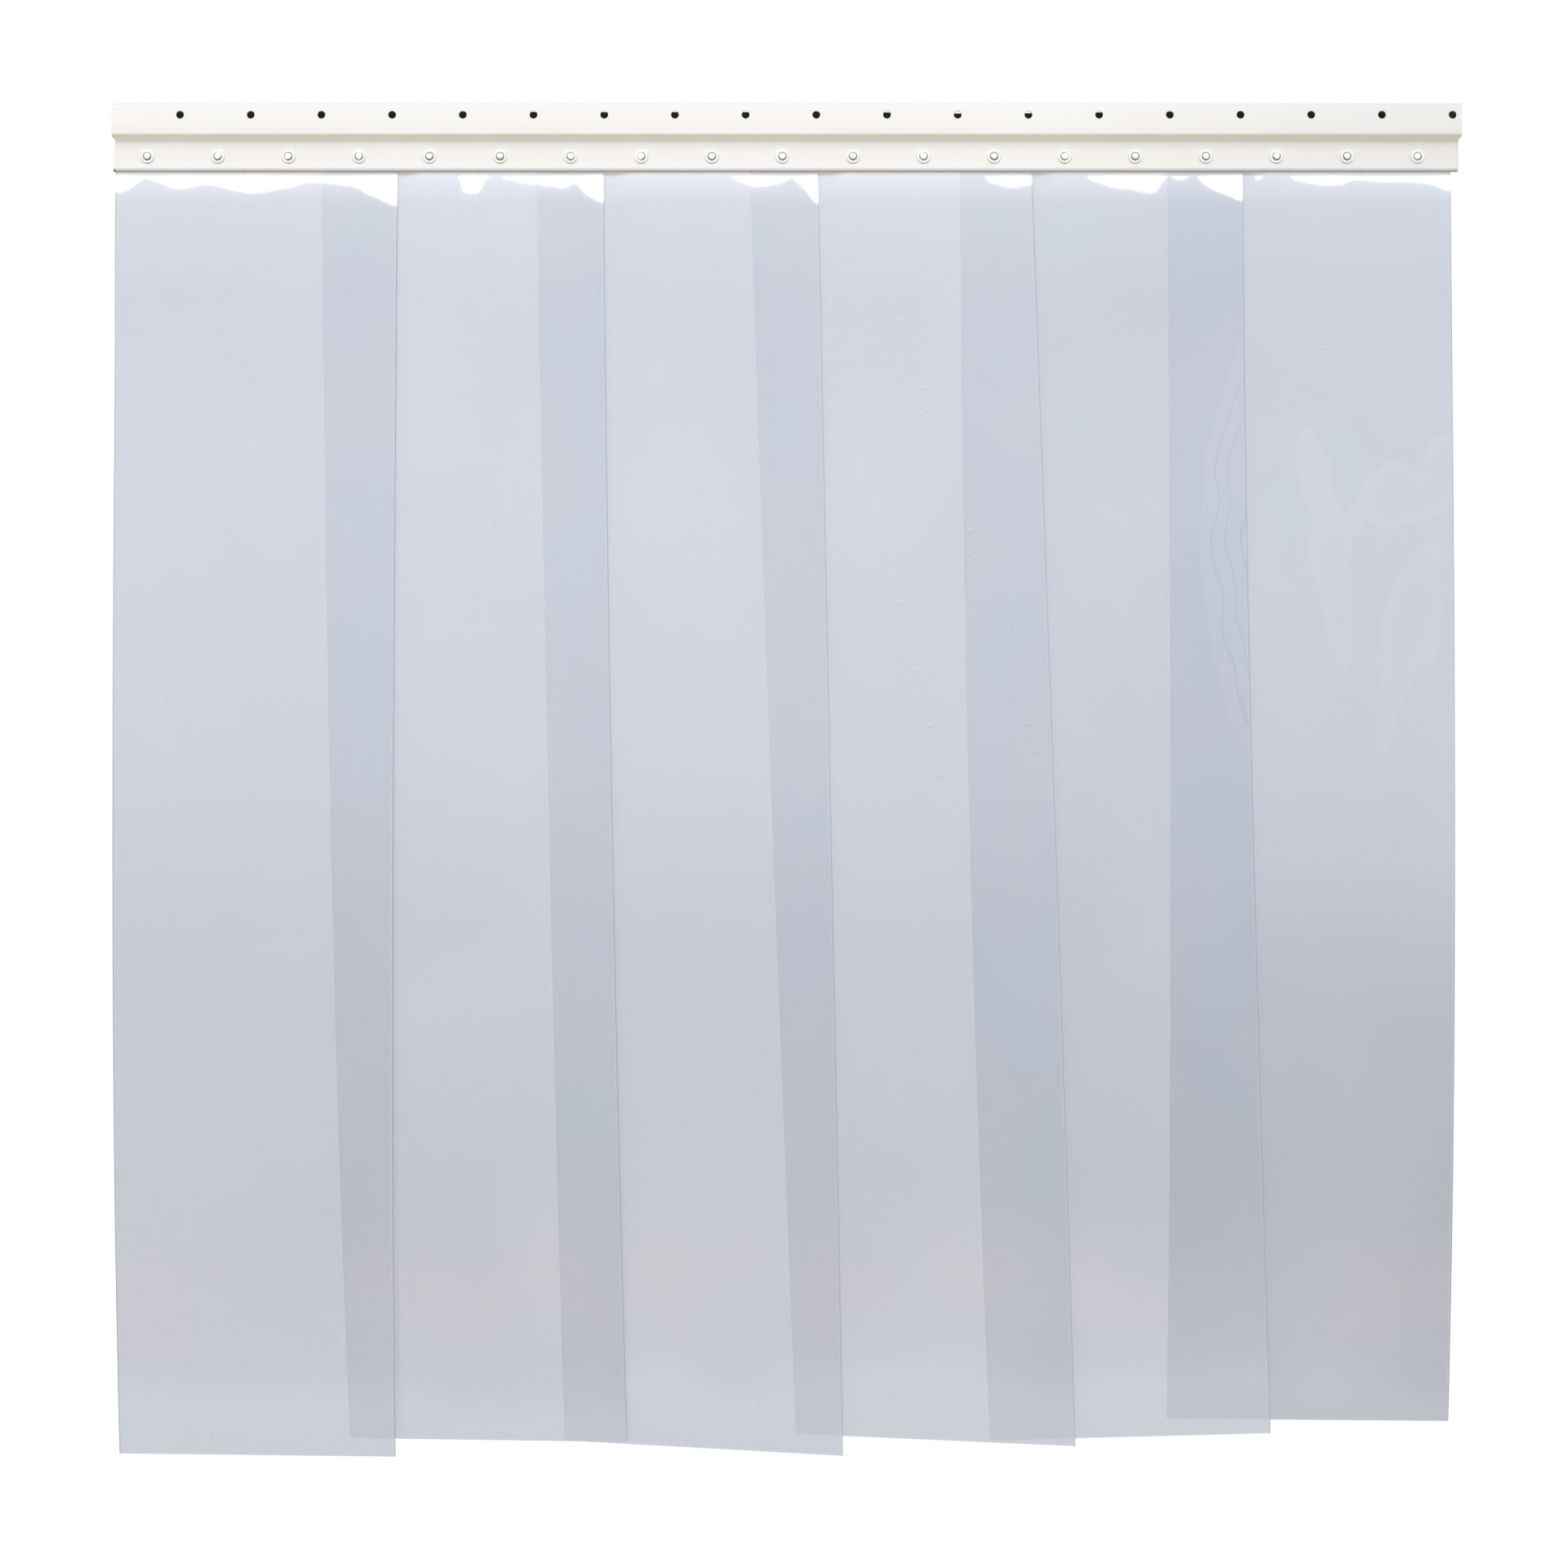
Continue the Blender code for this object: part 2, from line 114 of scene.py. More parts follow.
class Shade:
    """An output of a material's node tree. Sums on it add Math nodes, and node() adds any other node."""

    def __init__(self, tree, socket=None):
        self.tree = tree
        self.socket = socket

    def node(self, kind, settings=None, inputs=None, output=0):
        made = self.tree.nodes.new("ShaderNode" + kind)
        for name, value in (settings or {}).items():
            if name == "stops":
                ramp = made.color_ramp.elements
                while len(ramp) < len(value):
                    ramp.new(0.5)
                for stop, (position, color) in zip(ramp, value):
                    stop.position = position
                    stop.color = (*color, 1)
            else:
                setattr(made, name, value)
        for name, value in (inputs or {}).items():
            if isinstance(value, Shade):
                self.tree.links.new(value.socket, made.inputs[name])
            else:
                made.inputs[name].default_value = value
        return Shade(self.tree, made.outputs[output] if made.outputs else None)

    def output(self, name):
        return Shade(self.tree, self.socket.node.outputs[name])

    def math(self, operation, first, second=0.0):
        return self.node("Math", {"operation": operation}, {0: first, 1: second})

    def __add__(self, other):
        return self.math("ADD", self, other)

    def __sub__(self, other):
        return self.math("SUBTRACT", self, other)

    def __rsub__(self, other):
        return self.math("SUBTRACT", other, self)

    def __mul__(self, other):
        return self.math("MULTIPLY", self, other)

    __radd__ = __add__
    __rmul__ = __mul__

    def step(self, start, stop):
        """0 before start, 1 past stop, and smooth between them."""
        inputs = {"Value": self, "From Min": start, "From Max": stop}
        return self.node("MapRange", {"interpolation_type": "SMOOTHSTEP"}, inputs)

    def mixed(self, first, second):
        """From the first colour to the second, as this goes from 0 to 1."""
        first, second = [(*c, 1) if isinstance(c, tuple) else c for c in (first, second)]
        return self.node("Mix", {"data_type": "RGBA"}, {0: self, 6: first, 7: second}, 2)

    def noise(self, where, scale, detail=2.0, roughness=0.5, distortion=0.0):
        inputs = {
            "Vector": where,
            "Scale": scale,
            "Detail": detail,
            "Roughness": roughness,
            "Distortion": distortion,
        }
        return self.node("TexNoise", None, inputs)

    def vectors(self, operation, first, second):
        """Vector Math on two vectors or two colours, part by part."""
        return self.node("VectorMath", {"operation": operation}, {0: first, 1: second})

    def scaled(self, x, y, z):
        """This vector with each of its parts multiplied."""
        return self.vectors("MULTIPLY", self, (x, y, z))

    def multiplied_where(self, mask, color):
        """This colour, multiplied by another one where the mask is 1."""
        return self.vectors("MULTIPLY", self, mask.mixed((1.0, 1.0, 1.0), color))

    def from_axis(self):
        """How far this place is from the Y axis."""
        return self.node("VectorMath", {"operation": "LENGTH"}, {0: self.scaled(1.0, 0.0, 1.0)}, "Value")

    def ramp(self, start, stop, stops):
        """A colour from a list of (place between start and stop, colour)."""
        spread = self.node("MapRange", None, {"Value": self, "From Min": start, "From Max": stop})
        stops = [((place - start) / (stop - start), color) for place, color in stops]
        return self.node("ValToRGB", {"stops": stops}, {"Fac": spread})

    def bump(self, height, distance, strength=1.0):
        inputs = {"Height": height, "Distance": distance, "Strength": strength}
        return self.node("Bump", None, inputs)


def new_material(name):
    """A material with an empty tree, and the start of its expressions."""
    material = bpy.data.materials.new(name)
    material.use_nodes = True
    material.node_tree.nodes.clear()
    return material, Shade(material.node_tree)


def finish_material(start, **inputs):
    """Ends a tree in one Principled shader. An underscore in a socket's name stands for a space."""
    inputs = {name.replace("_", " "): value for name, value in inputs.items()}
    surface = start.node("BsdfPrincipled", None, inputs)
    start.node("OutputMaterial", None, {"Surface": surface})


def mesh_object(name, shape, material, sharp_angle=SHARP_ANGLE):
    """Makes a piece from a bmesh, smooth apart from its sharp edges."""
    mesh = bpy.data.meshes.new(name)
    for face in shape.faces:
        face.smooth = True
    shape.to_mesh(mesh)
    shape.free()
    mesh.set_sharp_from_angle(angle=math.radians(sharp_angle))
    mesh.materials.append(material)
    return new_object(name, mesh)


def rounded_path(points, radius, steps):
    """The path with each of its inner corners turned into an arc."""
    path = [points[0]]
    for before, corner, after in zip(points, points[1:], points[2:]):
        come = (before - corner).normalized()
        go = (after - corner).normalized()
        half_angle = come.angle(go) / 2
        centre = corner + (come + go).normalized() * radius / math.sin(half_angle)
        first = (corner + come * radius / math.tan(half_angle) - centre).normalized()
        last = (corner + go * radius / math.tan(half_angle) - centre).normalized()
        path += [centre + first.slerp(last, step / steps) * radius for step in range(steps + 1)]
    return path + [points[-1]]


def offset_path(path, distance):
    """The path moved sideways by the distance, to the left as it runs."""
    moved = []
    for place, point in enumerate(path):
        ahead = path[min(place + 1, len(path) - 1)] - path[max(place - 1, 0)]
        side = Vector((-ahead.y, ahead.x)).normalized()
        moved.append(point + side * distance)
    return moved


def add_block(shape, corners, reach):
    """Adds the flat outline with these corners, drawn out by the reach."""
    face = shape.faces.new([shape.verts.new(corner) for corner in corners])
    drawn = bmesh.ops.extrude_face_region(shape, geom=[face], use_keep_orig=True)
    moved = [item for item in drawn["geom"] if isinstance(item, bmesh.types.BMVert)]
    bmesh.ops.translate(shape, verts=moved, vec=reach)


def add_rods(shape, places, front_y, back_y, diameter, sides):
    """Adds a rod along Y at each (x, z)."""
    turn = Matrix.Rotation(math.pi / 2, 4, "X")
    for x, z in places:
        matrix = Matrix.Translation((x, (front_y + back_y) / 2, z)) @ turn
        bmesh.ops.create_cone(
            shape,
            cap_ends=True,
            segments=sides,
            radius1=diameter / 2,
            radius2=diameter / 2,
            depth=back_y - front_y,
            matrix=matrix,
        )


def cut_away(piece, shape):
    """Cuts the shape from the piece and keeps the result as the piece's own mesh."""
    bmesh.ops.recalc_face_normals(shape, faces=shape.faces)
    cutter_mesh = bpy.data.meshes.new("cutter")
    shape.to_mesh(cutter_mesh)
    shape.free()
    cutter = new_object("cutter", cutter_mesh)
    modifier = piece.modifiers.new("cut", "BOOLEAN")
    modifier.operation = "DIFFERENCE"
    modifier.solver = "EXACT"
    modifier.object = cutter
    keep_result(piece)
    bpy.data.objects.remove(cutter)
    bpy.data.meshes.remove(cutter_mesh)


def keep_result(piece):
    """Applies all of a piece's modifiers."""
    graph = bpy.context.evaluated_depsgraph_get()
    graph.update()
    result = bpy.data.meshes.new_from_object(piece.evaluated_get(graph), depsgraph=graph)
    piece.modifiers.clear()
    piece.data = result
    result.name = piece.name


def put_in_order(mesh):
    """Numbers the points and faces by place. A cut leaves them in an order that changes from run to run."""
    order = sorted(mesh.vertices, key=lambda vertex: tuple(vertex.co))
    points = [tuple(vertex.co) for vertex in order]
    numbers = {vertex.index: number for number, vertex in enumerate(order)}
    faces = []
    for polygon in mesh.polygons:
        corners = [numbers[index] for index in polygon.vertices]
        first = corners.index(min(corners))
        faces.append((corners[first:] + corners[:first], polygon.use_smooth))
    faces.sort()
    mesh.clear_geometry()
    mesh.from_pydata(points, [], [corners for corners, smooth in faces])
    mesh.polygons.foreach_set("use_smooth", [smooth for corners, smooth in faces])


paint, start = new_material("white_powder_coat")
where = start.node("TexCoord", None, None, "Object")
height = start.node("SeparateXYZ", None, {0: where}, "Z")
along = height.output("X")
cloud = start.noise(where, 9.0, 3.0)
fine = start.noise(where, 900.0, 2.0)
speck = start.noise(where.scaled(1.0, 1.0, 1.6), 420.0, 1.0)
dirt = speck.step(0.735, 0.77) * cloud.step(0.45, 0.62)
# Painted light and shade by height: a grey line along the top edge, dark lines at the top and foot of the
# joggle, the joggle warmer as if lit from a warm floor, a painted shadow under it on the lower flange, and a
# dark grey line at the lip with a brighter band above it.
white = height.ramp(
    -0.0375,
    0.0108,
    (
        (-0.0357, (0.50, 0.495, 0.495)),
        (-0.0350, (1.0, 0.99, 0.98)),
        (-0.0338, (0.925, 0.905, 0.90)),
        (-0.0272, (0.885, 0.865, 0.855)),
        (-0.0220, (0.865, 0.855, 0.835)),
        (-0.0180, (0.785, 0.795, 0.775)),
        (-0.0157, (0.68, 0.68, 0.65)),
        (-0.0150, (0.80, 0.785, 0.73)),
        (-0.0144, (0.95, 0.92, 0.815)),
        (-0.0128, (0.945, 0.905, 0.785)),
        (-0.0109, (0.83, 0.79, 0.70)),
        (-0.0101, (0.89, 0.88, 0.865)),
        (0.0000, (0.90, 0.89, 0.885)),
        (0.0101, (0.88, 0.865, 0.865)),
        (0.0106, (0.76, 0.75, 0.74)),
    ),
)
white = white.multiplied_where(1 - cloud.step(0.3, 0.7), (0.985, 0.98, 0.965))
# Painted shade: the rail darker towards its right end.
white = white.multiplied_where(along.step(0.15, 0.48), (0.93, 0.935, 0.94))
white = (dirt * 0.3).mixed(white, (0.45, 0.42, 0.36))
cut_corner = 1 - (along * 0.8 + height * 0.6).step(-0.4022, -0.4019)
white = (cut_corner * 0.85).mixed(white, (0.05, 0.05, 0.055))
sheared_end = along.step(0.4752, 0.4755) * (1 - height.step(-0.0150, -0.0142))
white = (sheared_end * 0.6).mixed(white, (0.30, 0.30, 0.30))
finish_material(
    start,
    Base_Color=white,
    Roughness=0.32 + 0.12 * cloud,
    Normal=start.bump(fine, 0.00012, 0.25),
    Specular_IOR_Level=0.35,
)


def stud_x(index):
    return FIRST_STUD_X + STUD_PITCH * index


half_sheet = SHEET / 2
fold_corners = [
    Vector((half_sheet, UPPER_TOP_Z - SHEET_EDGE_RADIUS)),
    Vector((half_sheet, UPPER_BOTTOM_Z)),
    Vector((JOGGLE_STEP + half_sheet, LOWER_TOP_Z)),
    Vector((JOGGLE_STEP + half_sheet, LOWER_BOTTOM_Z)),
    Vector((JOGGLE_STEP + half_sheet + LIP_STEP, LIP_Z)),
]
middle = rounded_path(fold_corners, FOLD_RADIUS, FOLD_STEPS)
near_side = offset_path(middle, -(half_sheet - SHEET_EDGE_RADIUS))
far_side = offset_path(middle, half_sheet - SHEET_EDGE_RADIUS)
core = near_side + far_side[::-1]
outline = []
for place, point in enumerate(core):
    before, after = core[place - 1], core[(place + 1) % len(core)]
    come = (point - before).normalized()
    go = (after - point).normalized()
    turns = SHEET_EDGE_STEPS if come.angle(go) > 1 else 0
    for step in range(turns + 1):
        ahead = come.slerp(go, step / turns) if turns else (come + go).normalized()
        outline.append(point + Vector((ahead.y, -ahead.x)) * SHEET_EDGE_RADIUS)

shape = bmesh.new()
add_block(shape, [(RAIL_LEFT, y, z) for y, z in outline], (RAIL_RIGHT - RAIL_LEFT, 0, 0))
bmesh.ops.recalc_face_normals(shape, faces=shape.faces)
rail = mesh_object("painted_rail", shape, paint)

shape = bmesh.new()
stud_places = [(stud_x(i), STUD_Z) for i in range(STUDS)]
screw_places = [(stud_x(i) + SCREW_HOLE_SHIFT, SCREW_Z) for i in range(STUDS)]
add_rods(shape, stud_places, -SHEET, 4 * SHEET + JOGGLE_STEP, STUD_HOLE, STUD_HOLE_SIDES)
add_rods(shape, screw_places, -SHEET, 2 * SHEET, SCREW_HOLE, SCREW_HOLE_SIDES)
cut_away(rail, shape)
put_in_order(rail.data)

# The joggle and the lower flange are sheared back at both ends, a little aslant at the left one.
shape = bmesh.new()
end_cuts = ((RAIL_LEFT, 1, END_INSET_BOTTOM_LEFT), (RAIL_RIGHT, -1, END_INSET_TOP))
for end_x, inward, bottom_inset in end_cuts:
    outer_x = end_x - inward * SHEET
    top_z = LOWER_TOP_Z + half_sheet
    bottom_z = LIP_Z - SHEET
    corners = [
        (outer_x, -SHEET, UPPER_BOTTOM_Z),
        (end_x + inward * END_INSET_TOP, -SHEET, top_z),
        (end_x + inward * bottom_inset, -SHEET, bottom_z),
        (outer_x, -SHEET, bottom_z),
    ]
    add_block(shape, corners, (0, 10 * SHEET, 0))
cut_away(rail, shape)
put_in_order(rail.data)
rail.data.set_sharp_from_angle(angle=math.radians(SHARP_ANGLE))
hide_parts("mounting_rail")
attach(rail, "rail")

# The collars: white rings pressed round the studs, rounded at their outer edge, with a narrow groove round
# the stud's head.
COLLAR_RADIUS = 0.0047
COLLAR_HEIGHT = 0.0014
COLLAR_BORE = 0.00285
COLLAR_FLOOR_BORE = 0.0025
COLLAR_FLOOR = 0.0004
COLLAR_ROUNDING = 0.0004
COLLAR_ROUNDING_STEPS = 6
COLLAR_LIP_ROUNDING = 0.0002
COLLAR_LIP_ROUNDING_STEPS = 3
COLLAR_FOOT_RADIUS = 0.005
COLLAR_FOOT = 0.0002
LATHE_SIDES = 40


def repeated(name, shape, material, sharp_angle=SHARP_ANGLE):
    """One piece for each stud, numbered from 01, all with the same mesh."""
    pieces = [mesh_object(f"{name}_01", shape, material, sharp_angle)]
    for index in range(1, STUDS):
        pieces.append(new_object(f"{name}_{index + 1:02d}", pieces[0].data))
    return pieces


def arc(centre, radius, start_angle, stop_angle, steps):
    """Points of an arc, as (radius from the axis, height), angles in degrees."""
    points = []
    for step in range(steps + 1):
        angle = math.radians(start_angle + (stop_angle - start_angle) * step / steps)
        points.append((centre[0] + radius * math.cos(angle), centre[1] + radius * math.sin(angle)))
    return points


def ring_of_corners(shape, height, radii):
    """Corners round an axis that points to -Y, one for each radius. With radii of 0 they are one corner."""
    if max(radii) < 1e-7:
        return [shape.verts.new((0, -height, 0))] * len(radii)
    ring = []
    for side, radius in enumerate(radii):
        angle = 2 * math.pi * side / len(radii)
        ring.append(shape.verts.new((radius * math.cos(angle), -height, radius * math.sin(angle))))
    return ring


def skin(shape, rings):
    """Joins each ring of corners to the next one."""
    for ring, beyond in zip(rings, rings[1:]):
        for side in range(len(ring)):
            after = (side + 1) % len(ring)
            corners = [ring[side], ring[after], beyond[after], beyond[side]]
            shape.faces.new(list(dict.fromkeys(corners)))
    bmesh.ops.recalc_face_normals(shape, faces=shape.faces)
    return shape


collar_paint, start = new_material("white_collar")
where = start.node("TexCoord", None, None, "Object")
cloud = start.noise(where, 220.0, 2.0)
# Painted shadow: a grey ring round the foot of each collar.
foot_shadow = where.from_axis().step(0.0046, 0.00472)
white = cloud.mixed((0.91, 0.90, 0.88), (0.94, 0.93, 0.92))
finish_material(
    start,
    Base_Color=(foot_shadow * 0.3).mixed(white, (0.60, 0.585, 0.55)),
    Roughness=0.25 + 0.15 * cloud,
)
outer_edge = (COLLAR_RADIUS - COLLAR_ROUNDING, COLLAR_HEIGHT - COLLAR_ROUNDING)
inner_edge = (COLLAR_BORE + COLLAR_LIP_ROUNDING, COLLAR_HEIGHT - COLLAR_LIP_ROUNDING)
collar_profile = [
    (COLLAR_FLOOR_BORE, 0),
    (COLLAR_FOOT_RADIUS, 0),
    (COLLAR_FOOT_RADIUS, COLLAR_FOOT),
    (COLLAR_RADIUS, COLLAR_FOOT),
    *arc(outer_edge, COLLAR_ROUNDING, 0, 90, COLLAR_ROUNDING_STEPS),
    *arc(inner_edge, COLLAR_LIP_ROUNDING, 90, 180, COLLAR_LIP_ROUNDING_STEPS),
    (COLLAR_BORE, COLLAR_FLOOR),
    (COLLAR_FLOOR_BORE, COLLAR_FLOOR),
]
shape = bmesh.new()
rings = [ring_of_corners(shape, height, [radius] * LATHE_SIDES) for radius, height in collar_profile]
collars = repeated("stud_collar", skin(shape, rings + rings[:1]), collar_paint)
for index, collar in enumerate(collars):
    collar.location = (stud_x(index), JOGGLE_STEP, STUD_Z)
    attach(collar, "rail")

# The studs: zinc plated steel pins with a low domed head, pressed through the collars from the wall side. A
# thread on each tail takes its nut on the far side.
STUD_RADIUS = 0.0024
HEAD_RADIUS = 0.0027
HEAD_HEIGHT = 0.0011
HEAD_SEAT = 0.0017
HEAD_RIM = 0.0003
DOME_SHARE = 0.93
DOME_STEPS = 8
TAIL_Y = 0.02
TAIL_CHAMFER = 0.0006
TAIL_CHAMFER_LENGTH = 0.0004
THREAD_PITCH = 0.0008
THREAD_DEPTH = 0.00022
THREAD_STEPS = 6
THREAD_START_Y = 0.0128
STUD_SIDES = 28
STUD_TURN = 2.4

zinc, start = new_material("bright_zinc")
where = start.node("TexCoord", None, None, "Object")
front = 1 - start.node("SeparateXYZ", None, {0: where}, "Y").step(0.0016, 0.0030)
serial = start.node("ObjectInfo", None, None, "Random")
blotch = start.noise(start.vectors("ADD", where, serial.scaled(3.0, 3.0, 3.0)), 190.0, 0.0)
# Painted reflection: a broken dark ring round the edge of each stud's polished head.
dark_rim_reflection = where.from_axis().step(0.0019, 0.0022) * front * blotch.step(0.28, 0.44)
smudge = blotch.step(0.50, 0.62) * 0.5
brushed = start.noise(where.scaled(3.0, 0.4, 3.0), 1400.0, 2.0)
silver = brushed.mixed((0.74, 0.76, 0.79), (0.90, 0.91, 0.93))
silver = smudge.mixed(silver, (0.52, 0.54, 0.57))
finish_material(
    start,
    Base_Color=dark_rim_reflection.mixed(silver, (0.27, 0.28, 0.30)),
    Roughness=0.20 + 0.15 * brushed,
    Metallic=1.0,
    Normal=start.bump(brushed, 0.00004, 0.3),
)


def stud_shape():
    """A stud on Y: its domed head in front, then its shank, and its threaded tail with a chamfered end."""
    profile = []
    for step in range(DOME_STEPS + 1):
        share = step / DOME_STEPS
        rise = math.sqrt(1 - (share * DOME_SHARE) ** 2)
        profile.append((HEAD_RADIUS * share, HEAD_SEAT + HEAD_RIM + (HEAD_HEIGHT - HEAD_RIM) * rise))
    height = JOGGLE_STEP - THREAD_START_Y
    end = JOGGLE_STEP - TAIL_Y
    profile += [(HEAD_RADIUS, HEAD_SEAT), (STUD_RADIUS, HEAD_SEAT), (STUD_RADIUS, height)]
    shape = bmesh.new()
    rings = [ring_of_corners(shape, row, [radius] * STUD_SIDES) for radius, row in profile]
    while height > end + TAIL_CHAMFER_LENGTH:
        height -= THREAD_PITCH / THREAD_STEPS
        turns = [(height / THREAD_PITCH + side / STUD_SIDES) % 1 for side in range(STUD_SIDES)]
        radii = [STUD_RADIUS - THREAD_DEPTH * abs(2 * turn - 1) for turn in turns]
        rings.append(ring_of_corners(shape, height, radii))
    for radius in (STUD_RADIUS - TAIL_CHAMFER, 0):
        rings.append(ring_of_corners(shape, end, [radius] * STUD_SIDES))
    return skin(shape, rings)


for index, stud in enumerate(repeated("domed_stud", stud_shape(), zinc)):
    stud.location = (stud_x(index), JOGGLE_STEP, STUD_Z)
    stud.rotation_euler = (0, STUD_TURN * index, 0)
    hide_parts(f"stud_{index + 1:02d}")
    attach(stud, "rail")

# The strips: 200 mm wide, 2 mm thick clear PVC with a faint blue tint, cut from a coil and punched at the top
# for four studs. Each laps 50 mm over the next, on the wall side, and hangs with a little of the coil's curl
# left in it.
STRIPS = 6
PITCHES_PER_STRIP = 3
STRIP_WIDTH = 0.2
STRIP_THICKNESS = 0.002
STRIP_MARGIN = 0.025
STRIP_LENGTH = 0.94
STRIP_TOP_Z = -0.0139
CLAMPED_ROWS_Z = (STRIP_TOP_Z, -0.0165, -0.0195, -0.0225, -0.026, -0.029)
CLAMP_END_Z = -0.0304
STEPS_TO_HINGE = 8
HINGE_Y = 0.01025
HINGE_Z = -0.0384
LAYER_PITCH = 0.0023
FREE_LAYER_SHARE = 4 / 3
SPREAD_GROWTH = 3.0
SETTLE_LENGTH = 0.15
CURL = 0.05
PUNCH = 0.006
PUNCH_SIDES = 24
COLUMNS = 80
FIRST_ROW_STEP = 0.0009
LAST_ROW_STEP = 0.0125
CLOSE_ROWS_SHARE = 0.035
ROW_STEP_GROWTH = 1.12
SEEN_ALPHA = 0.62
LIGHT_ALPHA = 0.08
STRIP_SHARP_ANGLE = 40

# One value for each strip, from the left: its place on the studs, its lean, its length, its bottom's slope.
PUNCHING_SHIFT_SHARES = (0.08, -0.08, 0.015, 0.085, 0.065, -0.04)
LEAN_SHARES = (-0.022, 0.079, 0.09, 0.164, 0.115, 0.015)
LEAN_BEND_SHARES = (0.0, 0.35, 0.0, 0.1, 0.95, 0.0)
LENGTH_SHARES = (1.0, 0.9885, 0.9947, 0.9885, 0.9861, 0.9731)
BOTTOM_SLOPE_SHARES = (-0.002, 0.001, 0.042, 0.031, -0.039, -0.004)

# Under the clamp each sheet flares a little, unevenly. For each strip: how far across, and how far down in mm
# the flare is steep enough to mirror the lamp above.
FLARES = (
    ((0, 18), (0.05, 15.5), (0.08, 7), (0.11, 1), (0.14, 6), (0.22, 13.5), (0.32, 9), (0.49, 16.5),
     (0.6, 11.5), (0.7, 5.5), (0.78, 7.5), (0.85, 9.5), (0.91, 17), (1, 25)),
    ((0, -6), (0.48, -5), (0.505, 16), (0.555, 16), (0.585, 2), (0.62, -3), (0.65, 3), (0.74, 7),
     (0.86, 10.5), (0.9, 6), (0.945, 17), (1, 22.5)),
    ((0, -6), (0.67, -5), (0.7, 4), (0.775, 10), (0.87, 7), (0.905, 0), (0.935, 9), (1, 24)),
    ((0, -6), (0.82, -5), (0.84, 5), (0.92, 10), (1, 7)),
    ((0, -6), (0.43, -5), (0.46, 5), (0.56, 11.5), (0.68, 15.5), (0.72, 5), (0.735, -3), (0.76, 4), (0.8, 3),
     (0.83, -4), (0.855, 7), (0.91, 14), (1, 21)),
    ((0, -6), (0.29, -4), (0.32, 6), (0.35, -2), (0.41, -3), (0.45, 4.5), (0.54, 8.5), (0.61, 8.5), (0.65, 4),
     (0.68, 3.5), (0.76, 5.5), (0.84, 5), (0.915, 6.5), (1, 12.5)),
)
FLARE_CURVE = 2.7
FLARE_LEAD = 0.01
FLARE_SETTLE = 0.15

# Three lobes of painted reflection on the sixth strip: across, down, half their width and height, and their
# lean.
LOBES = (
    (0.110, 0.280, 0.014, 0.085, 0.13),
    (0.186, 0.240, 0.046, 0.036, -0.9),
    (0.167, 0.350, 0.021, 0.066, -0.27),
)


def smooth_step(value):
    value = min(max(value, 0), 1)
    return value * value * (3 - 2 * value)


def strip_left(index):
    shift = PUNCHING_SHIFT_SHARES[index] * STRIP_MARGIN
    return stud_x(PITCHES_PER_STRIP * index) - STRIP_MARGIN + shift


def flare(index, across_share, under):
    """How far the sheet stands forward there, at this depth under the rail."""
    table = FLARES[index]
    for (low, low_reach), (high, high_reach) in zip(table, table[1:]):
        if across_share <= high:
            share = smooth_step((across_share - low) / (high - low))
            reach = low_reach + (high_reach - low_reach) * share
            break
    reach = max(reach / 1000 + FLARE_LEAD, 0)
    forward = FLARE_CURVE / 2 * (reach**2 - max(reach - max(under, 0), 0) ** 2)
    return forward * (1 - smooth_step((under - reach) / FLARE_SETTLE))


def clamped_layer(index, across):
    """Which layer of the clamped stack holds the sheet there: 1 is the far one, -1 the near one."""
    if index == 0:
        return -1
    shifts = [share * STRIP_MARGIN for share in PUNCHING_SHIFT_SHARES]
    begin = 2 * STRIP_MARGIN + max(0, shifts[index - 1] - shifts[index]) + STRIP_THICKNESS
    end = STRIP_MARGIN - shifts[index] + STUD_PITCH - 2 * STUD_RADIUS
    return 1 - 2 * smooth_step((across - begin) / (end - begin))


def strip_rows(length):
    """The rows down a strip: (share of the hanging length, y, z, metres down from the top edge)."""
    head = STRIP_TOP_Z - HINGE_Z
    rows = [(0, -LIP_STEP, z, STRIP_TOP_Z - z) for z in CLAMPED_ROWS_Z]
    for step in range(STEPS_TO_HINGE + 1):
        bent = step / STEPS_TO_HINGE
        z = CLAMP_END_Z + (HINGE_Z - CLAMP_END_Z) * bent
        rows.append((0, -LIP_STEP * (1 - smooth_step(bent)), z, STRIP_TOP_Z - z))
    share, y, z, step = 0, 0, HINGE_Z, FIRST_ROW_STEP
    while share < 1:
        run = min(step, (1 - share) * length)
        share = min(share + run / length, 1)
        new_y = CURL * (share**3 - share / 2)
        z -= math.sqrt(run * run - (new_y - y) ** 2)
        y = new_y
        rows.append((share, y, z, head + share * length))
        if share > CLOSE_ROWS_SHARE:
            step = min(step * ROW_STEP_GROWTH, LAST_ROW_STEP)
        if 1 - share < 1e-6:
            share = 1
    return rows


